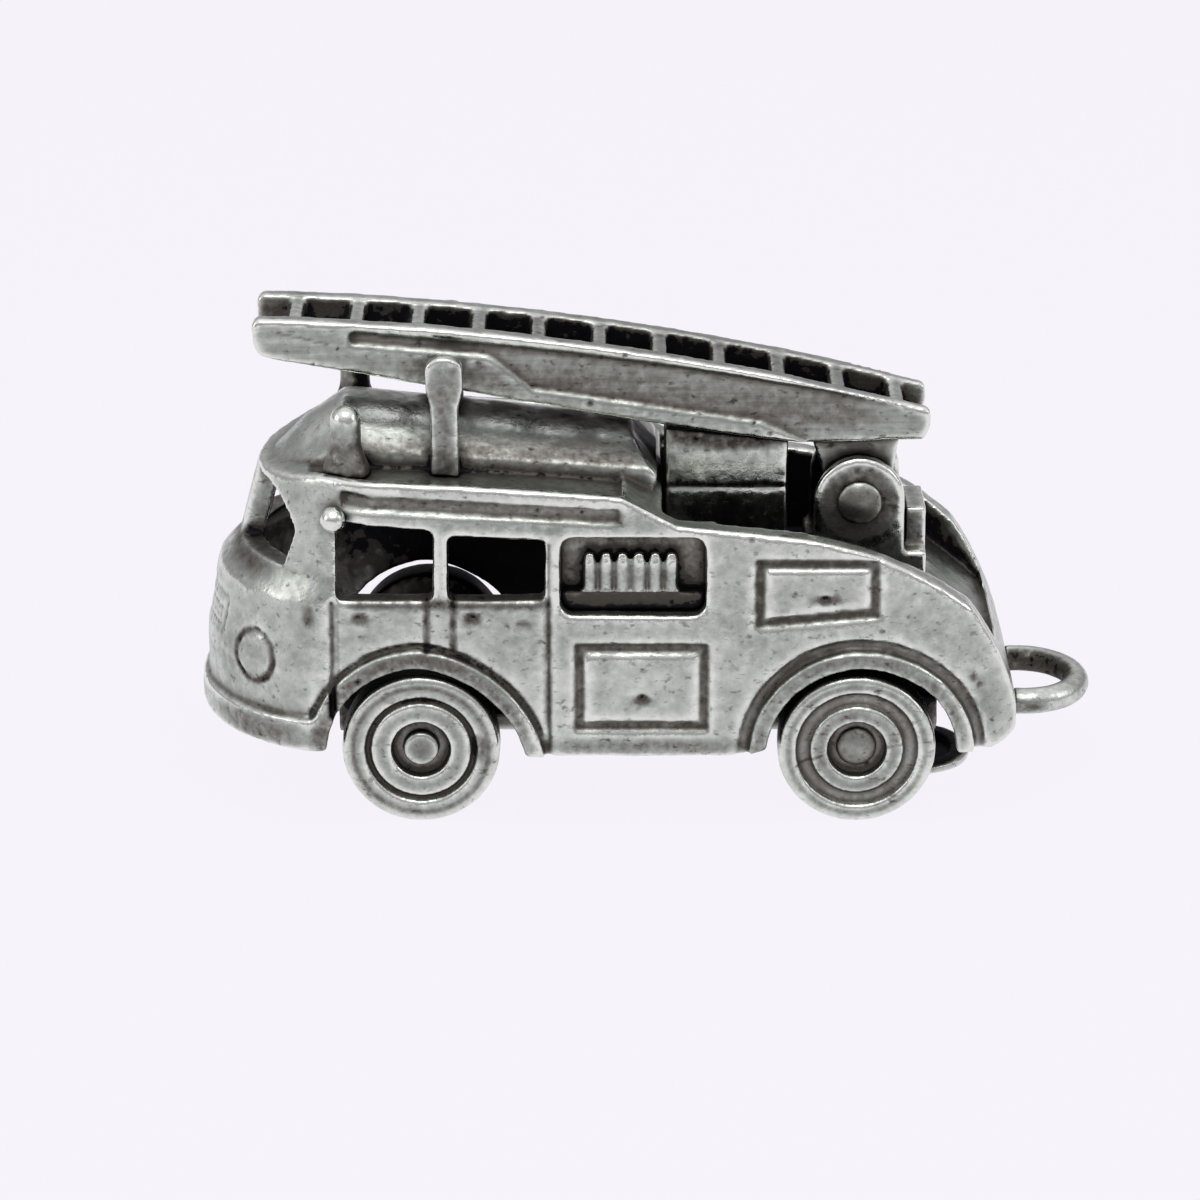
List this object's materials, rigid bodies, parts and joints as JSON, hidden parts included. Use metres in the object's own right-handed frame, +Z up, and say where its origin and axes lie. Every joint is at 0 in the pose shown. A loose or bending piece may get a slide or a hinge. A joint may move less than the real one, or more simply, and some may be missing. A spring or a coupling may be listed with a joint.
{
  "type": "toy fire engine charm",
  "caption": "Small cast silver fire engine charm with a hollow body, turning wheels, a ladder that lifts about its pin and a hanging ring at the tail.",
  "frame": {"origin": "on the ground under the centre of the overall box", "axes": "+X to the engine's nose, +Y to its left side, +Z up"},
  "size_m": [0.0279, 0.01, 0.0152],
  "materials": {
    "body_silver": "oxidised sterling silver, worn satin",
    "worn_silver": "sterling silver, worn",
    "dark_silver": "sterling silver, dark brown patina",
    "ladder_silver": "oxidised sterling silver, brushed",
    "bright_silver": "sterling silver, rubbed bright",
    "wheel_silver": "oxidised sterling silver, turned and worn"
  },
  "bodies": {
    "engine": {"body_shell": "body_silver", "chassis": "worn_silver", "front_axle": "worn_silver", "rear_axle": "worn_silver", "hose_box": "dark_silver", "ladder_bracket": "dark_silver", "ladder_pin": "worn_silver", "ladder_rest": "bright_silver", "roof_post_left": "bright_silver", "roof_post_right": "bright_silver", "corner_ball_left": "bright_silver", "corner_ball_right": "bright_silver", "locker_bottles_left": "bright_silver", "locker_bottles_right": "bright_silver", "charm_ring": "bright_silver", "tow_eye": "worn_silver"},
    "ladder": {"ladder": "ladder_silver"},
    "wheel_front_left_body": {"wheel_front_left": "wheel_silver"},
    "wheel_front_right_body": {"wheel_front_right": "wheel_silver"},
    "wheel_rear_left_body": {"wheel_rear_left": "wheel_silver"},
    "wheel_rear_right_body": {"wheel_rear_right": "wheel_silver"}
  },
  "joints": [
    {"name": "wheel_front_left_spin", "type": "hinge", "parent": "engine", "child": "wheel_front_left_body", "pos_m": [0.00693, 0.00424, 0.00243], "axis": [0, 1, 0], "continuous": true},
    {"name": "wheel_front_right_spin", "type": "hinge", "parent": "engine", "child": "wheel_front_right_body", "pos_m": [0.00693, -0.00424, 0.00243], "axis": [0, 1, 0], "continuous": true},
    {"name": "wheel_rear_left_spin", "type": "hinge", "parent": "engine", "child": "wheel_rear_left_body", "pos_m": [-0.00644, 0.00424, 0.00243], "axis": [0, 1, 0], "continuous": true},
    {"name": "wheel_rear_right_spin", "type": "hinge", "parent": "engine", "child": "wheel_rear_right_body", "pos_m": [-0.00644, -0.00424, 0.00243], "axis": [0, 1, 0], "continuous": true},
    {"name": "ladder_lift", "type": "hinge", "parent": "engine", "child": "ladder", "pos_m": [-0.00655, 0, 0.00935], "axis": [0, -1, 0], "range_deg": [0, 55]}
  ]
}
